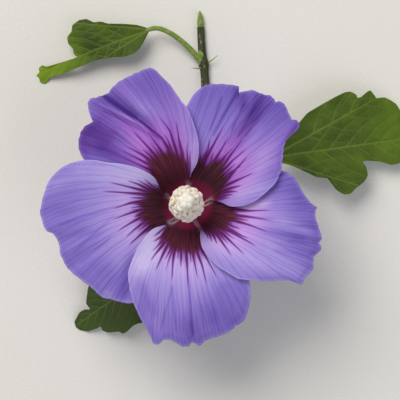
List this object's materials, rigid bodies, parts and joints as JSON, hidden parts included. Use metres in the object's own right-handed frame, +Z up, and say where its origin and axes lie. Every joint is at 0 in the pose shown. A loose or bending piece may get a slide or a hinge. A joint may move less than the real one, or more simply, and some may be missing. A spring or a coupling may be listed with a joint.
{
  "type": "rose of sharon flowering sprig",
  "caption": "Cut leafy sprig of rose of sharon lying flat, its open lavender-blue bloom with a maroon eye and a cream column of stamens facing up.",
  "frame": {"origin": "centre of the sprig's bounding box at the level of the surface it lies on", "axes": "+Z up, the way the bloom faces; +Y along the shoot from its cut end to its tip; +X to the right of the shoot, towards its longest leaf"},
  "size_m": [0.1328, 0.1075, 0.0499],
  "materials": {
    "petal": "soft matt petal, lavender-violet with darker veins and a maroon eye",
    "stamen": "matt, fleshy, cream tube of joined filaments",
    "anther": "matt, granular cream anthers dusted with pollen",
    "stigma": "matt, fine downy near-white lobes",
    "calyx": "matt, finely downy fresh green",
    "leaf": "satin leaf surface with sunken veins, paler underneath",
    "shoot": "young green-brown bark with fine ridges and pale pores"
  },
  "bodies": {
    "root": {"shoot": "shoot", "tip_bud": "leaf", "petal_upper_left": "petal", "petal_upper_right": "petal", "petal_right": "petal", "petal_bottom": "petal", "petal_left": "petal", "staminal_column": "stamen", "anther_mass": "anther", "stigma": "stigma", "calyx": "calyx", "epicalyx_bract_1": "calyx", "epicalyx_bract_2": "calyx", "epicalyx_bract_3": "calyx", "epicalyx_bract_4": "calyx", "epicalyx_bract_5": "calyx", "epicalyx_bract_6": "calyx", "epicalyx_bract_7": "calyx", "pedicel": "calyx", "leaf_right_blade": "leaf", "leaf_right_petiole": "calyx", "leaf_right_stipule_outer": "calyx", "leaf_right_stipule_inner": "calyx", "leaf_right_bud": "leaf", "leaf_lower_blade": "leaf", "leaf_lower_petiole": "calyx", "leaf_lower_stipule_outer": "calyx", "leaf_lower_stipule_inner": "calyx", "leaf_upper_blade": "leaf", "leaf_upper_petiole": "calyx", "leaf_upper_stipule_outer": "calyx", "leaf_upper_stipule_inner": "calyx", "leaf_upper_bud": "leaf"}
  },
  "joints": []
}
